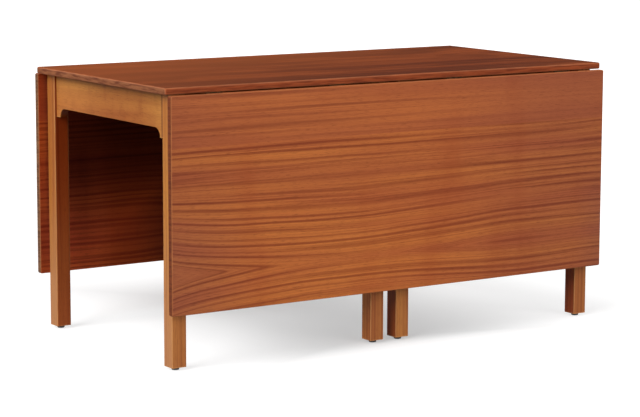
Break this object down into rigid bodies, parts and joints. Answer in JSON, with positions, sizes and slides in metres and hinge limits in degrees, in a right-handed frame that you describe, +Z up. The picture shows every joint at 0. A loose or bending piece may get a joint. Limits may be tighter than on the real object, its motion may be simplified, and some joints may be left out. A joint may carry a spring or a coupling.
{
  "type": "drop-leaf gate-leg table",
  "caption": "Long wooden table folded to a narrow oblong, with a hinged leaf hanging along each side and swinging gate legs that carry the leaves when raised.",
  "frame": {"origin": "on the floor under the middle of the table", "axes": "+X along the table's length, +Y from the front leaf to the back leaf, +Z up"},
  "size_m": [1.397, 0.742, 0.719],
  "materials": {
    "veneer": "satin-polished mahogany veneer, grain along the table",
    "lipping": "satin-polished solid mahogany",
    "leg_wood": "satin-polished solid mahogany",
    "apron_wood": "satin-polished light mahogany",
    "frame_wood": "planed, unpolished hardwood",
    "hinge_brass": "dull brass",
    "screw_brass": "dull brass",
    "steel": "plain steel",
    "glide_plastic": "black plastic"
  },
  "bodies": {
    "frame": {"back_hinge_pins": "hinge_brass", "back_left_gate_block": "frame_wood", "back_left_gate_pin": "steel", "back_left_leg": "leg_wood", "back_right_gate_block": "frame_wood", "back_right_gate_pin": "steel", "back_right_leg": "leg_wood", "back_side_rail": "frame_wood", "back_top_flap_screws": "screw_brass", "back_top_flaps": "hinge_brass", "corner_blocks": "frame_wood", "corner_glides": "glide_plastic", "cross_rail": "frame_wood", "front_hinge_pins": "hinge_brass", "front_left_gate_block": "frame_wood", "front_left_gate_pin": "steel", "front_left_leg": "leg_wood", "front_right_gate_block": "frame_wood", "front_right_gate_pin": "steel", "front_right_leg": "leg_wood", "front_side_rail": "frame_wood", "front_top_flap_screws": "screw_brass", "front_top_flaps": "hinge_brass", "left_apron": "apron_wood", "right_apron": "apron_wood", "top_back_lipping": "lipping", "top_board": "veneer", "top_front_lipping": "lipping", "top_left_lipping": "lipping", "top_right_lipping": "lipping", "top_screws": "steel"},
    "front_leaf": {"front_leaf_board": "veneer", "front_leaf_flap_screws": "screw_brass", "front_leaf_flaps": "hinge_brass", "front_leaf_free_lipping": "lipping", "front_leaf_hinge_lipping": "lipping", "front_leaf_left_lipping": "lipping", "front_leaf_right_lipping": "lipping"},
    "back_leaf": {"back_leaf_board": "veneer", "back_leaf_flap_screws": "screw_brass", "back_leaf_flaps": "hinge_brass", "back_leaf_free_lipping": "lipping", "back_leaf_hinge_lipping": "lipping", "back_leaf_left_lipping": "lipping", "back_leaf_right_lipping": "lipping"},
    "front_left_gate": {"front_left_gate_glide": "glide_plastic", "front_left_gate_leg": "leg_wood", "front_left_gate_rail": "frame_wood"},
    "front_right_gate": {"front_right_gate_glide": "glide_plastic", "front_right_gate_leg": "leg_wood", "front_right_gate_rail": "frame_wood"},
    "back_left_gate": {"back_left_gate_glide": "glide_plastic", "back_left_gate_leg": "leg_wood", "back_left_gate_rail": "frame_wood"},
    "back_right_gate": {"back_right_gate_glide": "glide_plastic", "back_right_gate_leg": "leg_wood", "back_right_gate_rail": "frame_wood"}
  },
  "joints": [
    {"name": "front_leaf_hinge", "type": "hinge", "parent": "frame", "child": "front_leaf", "pos_m": [0, -0.3511, 0.6991], "axis": [-1, 0, 0], "range_deg": [0, 90]},
    {"name": "back_leaf_hinge", "type": "hinge", "parent": "frame", "child": "back_leaf", "pos_m": [0, 0.3511, 0.6991], "axis": [1, 0, 0], "range_deg": [0, 90]},
    {"name": "front_left_gate_pivot", "type": "hinge", "parent": "frame", "child": "front_left_gate", "pos_m": [-0.5575, -0.301, 0.655], "axis": [0, 0, -1], "range_deg": [0, 2.6]},
    {"name": "front_right_gate_pivot", "type": "hinge", "parent": "frame", "child": "front_right_gate", "pos_m": [0.5575, -0.301, 0.655], "axis": [0, 0, 1], "range_deg": [0, 2.6]},
    {"name": "back_left_gate_pivot", "type": "hinge", "parent": "frame", "child": "back_left_gate", "pos_m": [-0.5575, 0.301, 0.655], "axis": [0, 0, 1], "range_deg": [0, 2.6]},
    {"name": "back_right_gate_pivot", "type": "hinge", "parent": "frame", "child": "back_right_gate", "pos_m": [0.5575, 0.301, 0.655], "axis": [0, 0, -1], "range_deg": [0, 2.6]}
  ]
}
